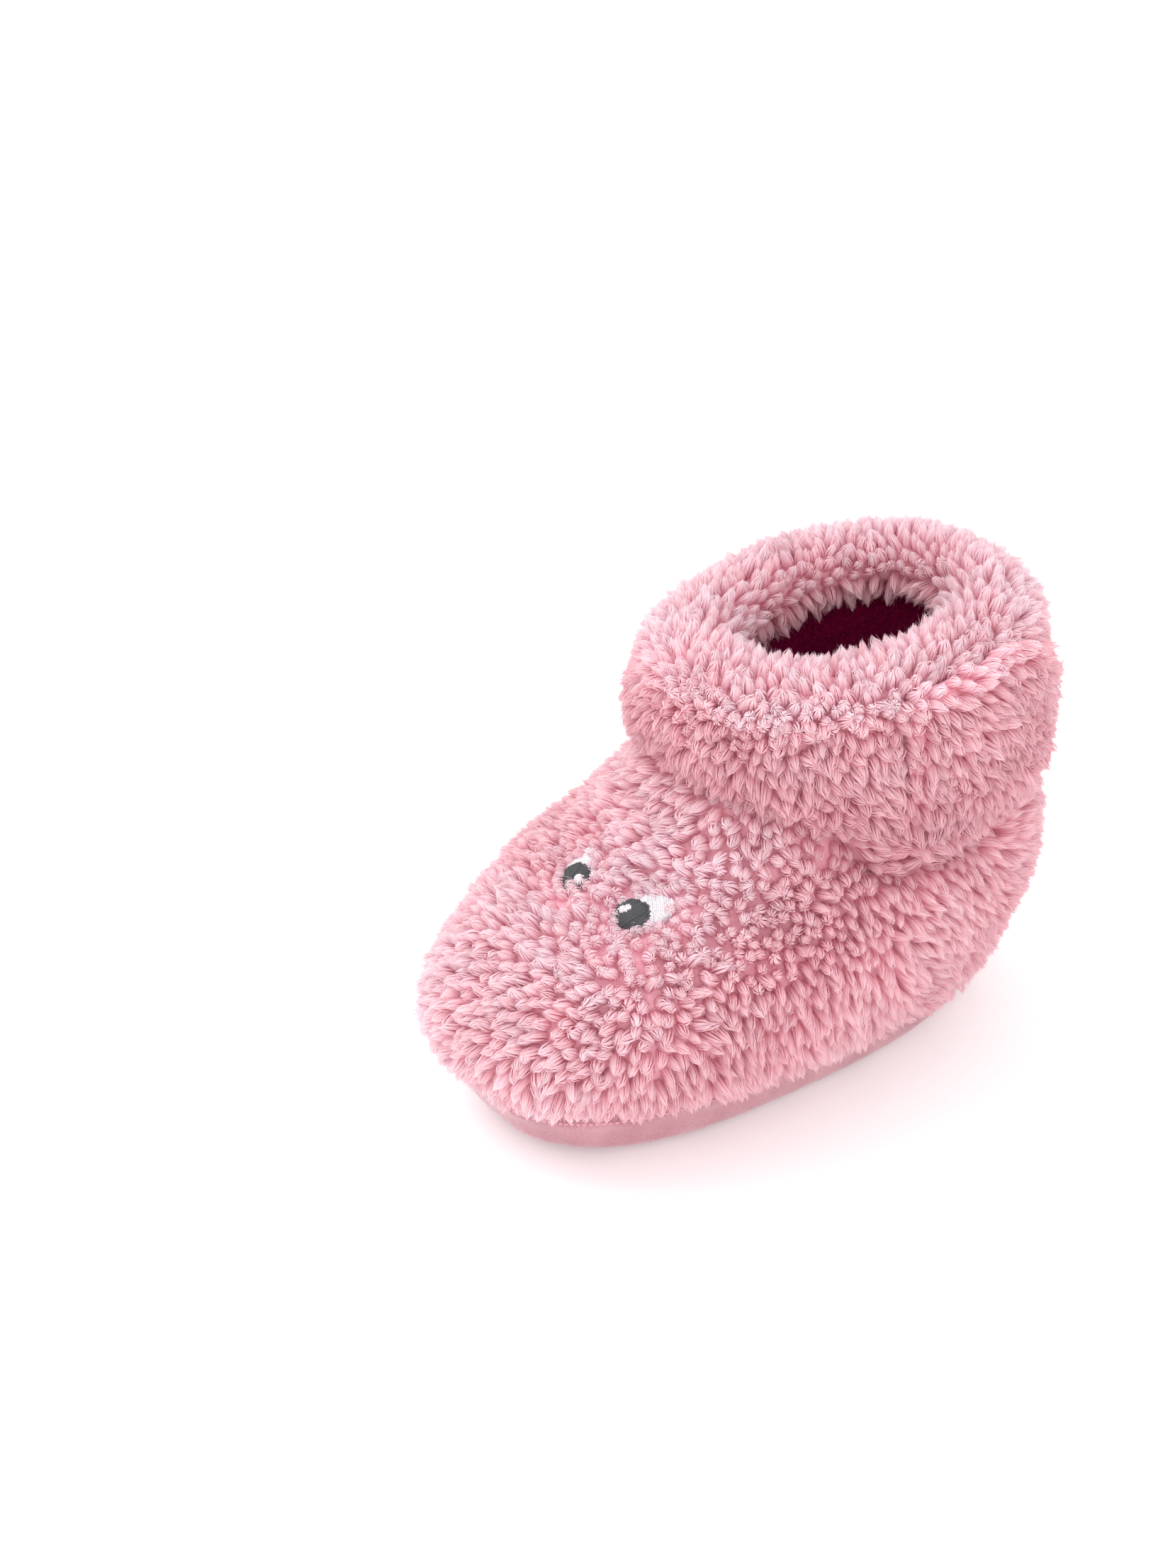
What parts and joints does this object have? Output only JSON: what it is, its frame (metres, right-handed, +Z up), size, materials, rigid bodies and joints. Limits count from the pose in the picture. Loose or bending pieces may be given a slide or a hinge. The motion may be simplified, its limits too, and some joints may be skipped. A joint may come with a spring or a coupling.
{
  "type": "baby bootie",
  "caption": "Soft pink sherpa ankle bootie for a baby, left foot, with a rolled rim, embroidered eyes, a suede-edged sole and a hook-and-loop side flap.",
  "frame": {"origin": "centre of the flat tip of the middle grip dot under the sole, at ground level", "axes": "+Z up, -Y towards the toe, +X towards the outer side of the foot, where the flap is"},
  "size_m": [0.0816, 0.1474, 0.1051],
  "materials": {
    "pink_sherpa": "matte",
    "pink_suede": "matte",
    "white_wadding": "matte",
    "maroon_lining": "matte",
    "soft_foam": "matte",
    "grip_rubber": "matte",
    "fibre_board": "matte",
    "maroon_footbed": "matte",
    "hook_tape": "matte",
    "loop_tape": "matte",
    "white_thread": "satin",
    "charcoal_thread": "satin"
  },
  "bodies": {
    "boot": {"facing_back": "pink_sherpa", "facing_front": "pink_sherpa", "facing_lateral": "pink_sherpa", "facing_medial": "pink_sherpa", "grip_outsole": "grip_rubber", "heel_lining": "maroon_lining", "heel_padding": "white_wadding", "heel_quarter": "pink_sherpa", "insole": "maroon_footbed", "insole_board": "fibre_board", "lateral_eye_glint": "white_thread", "lateral_eye_pupil": "charcoal_thread", "lateral_eye_white": "white_thread", "loop_patch": "loop_tape", "medial_eye_glint": "white_thread", "medial_eye_pupil": "charcoal_thread", "medial_eye_white": "white_thread", "midsole": "soft_foam", "shaft_back": "pink_sherpa", "shaft_front": "pink_sherpa", "shaft_lining": "maroon_lining", "shaft_padding": "white_wadding", "sole_wrap": "pink_suede", "toe_vamp": "pink_sherpa", "vamp_lining": "maroon_lining", "vamp_padding": "white_wadding"},
    "flap": {"closure_flap": "pink_sherpa", "flap_lining": "pink_suede", "hook_patch": "hook_tape"}
  },
  "joints": [
    {"name": "flap_hinge", "type": "hinge", "parent": "boot", "child": "flap", "pos_m": [0.0368, 0.0091, 0.0806], "axis": [0, 0, -1], "range_deg": [0, 110]}
  ]
}
